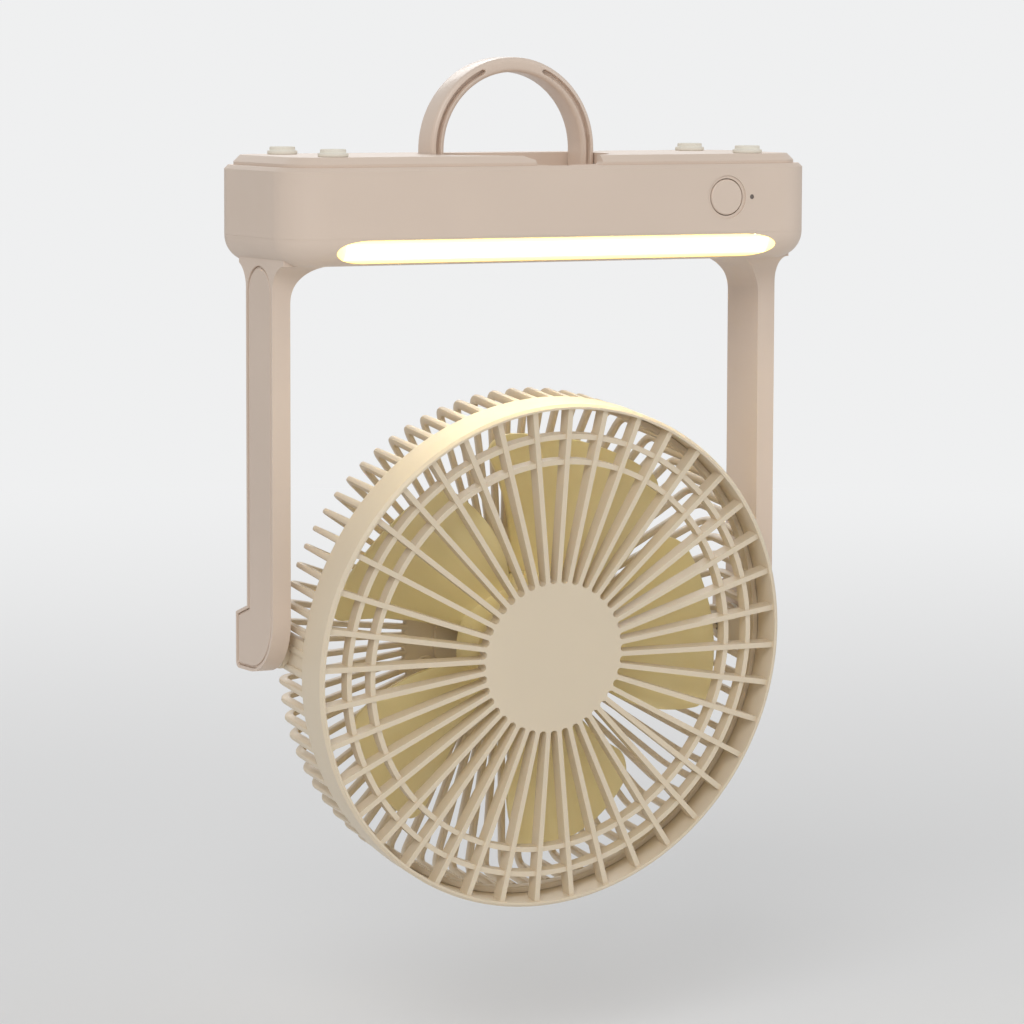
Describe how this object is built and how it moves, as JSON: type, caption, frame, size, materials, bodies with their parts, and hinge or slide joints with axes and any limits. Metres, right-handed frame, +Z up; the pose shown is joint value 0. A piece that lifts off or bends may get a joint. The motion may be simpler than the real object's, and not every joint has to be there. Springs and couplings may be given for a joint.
{
  "type": "portable camping fan",
  "caption": "Rechargeable camping fan that hangs from a folding ring: battery base with a light strip, two arms and a tilting round caged fan head.",
  "frame": {"origin": "the hanging point: the middle of the ring's inner top, with the fan hanging as pictured", "axes": "+X to the right of the front, +Y to the back, +Z up; the fan blows towards -Y"},
  "size_m": [0.2162, 0.0787, 0.3133],
  "materials": {
    "casing": "satin",
    "tray": "satin",
    "arm_panel": "satin",
    "grille": "satin",
    "basket": "satin",
    "blades": "semi-gloss",
    "hanger": "satin",
    "button": "satin",
    "feet": "matt",
    "diffuser": "milky",
    "pilot": "clear",
    "board": "solder mask",
    "switch": "matt",
    "cells": "shrink-wrapped",
    "cradle": "matt",
    "port": "plated",
    "steel": "turned",
    "screws": "zinc plated",
    "can": "drawn",
    "magnet": "sintered",
    "stator": "wound with copper wire",
    "mount": "matt",
    "washer": "waxy",
    "lead": "matt"
  },
  "bodies": {
    "base": {"upper_housing": "casing", "lower_housing": "tray", "top_cover": "casing", "rubber_feet": "feet", "led_diffuser": "diffuser", "led_board": "board", "battery_cells": "cells", "battery_cradle": "cradle", "control_board": "board", "push_switch": "switch", "indicator_lens": "pilot", "charging_port": "port", "casing_screws": "screws", "ring_pins": "steel", "motor_lead": "lead", "right_arm": "casing", "right_arm_cover": "arm_panel", "left_arm": "casing", "left_arm_cover": "arm_panel"},
    "hanger": {"hanger_ring": "hanger"},
    "button": {"power_button": "button", "switch_plunger": "switch"},
    "fan_head": {"front_grille": "grille", "rear_basket": "basket", "rear_cap": "basket", "motor_flange": "mount", "motor_stator": "stator", "motor_bearings": "steel", "motor_screws": "screws", "pivot_shafts": "steel", "friction_washers": "washer"},
    "rotor": {"impeller": "blades", "shaft_clip": "steel", "motor_shaft": "steel", "rotor_can": "can", "rotor_magnet": "magnet"}
  },
  "joints": [
    {"name": "ring_fold", "type": "hinge", "parent": "base", "child": "hanger", "pos_m": [0, 0, -0.036], "axis": [1, 0, 0], "range_deg": [0, 90]},
    {"name": "button_press", "type": "slide", "parent": "base", "child": "button", "axis": [0, 1, 0], "range_m": [0, 0.0008], "stiffness_N_per_m": 400, "springref_m": -0.001},
    {"name": "head_tilt", "type": "hinge", "parent": "base", "child": "fan_head", "pos_m": [0, -0.003, -0.2093], "axis": [1, 0, 0], "range_deg": [-97, 83]},
    {"name": "rotor_spin", "type": "hinge", "parent": "fan_head", "child": "rotor", "pos_m": [0, -0.003, -0.2093], "axis": [0, 0.9925, 0.1219], "continuous": true}
  ]
}
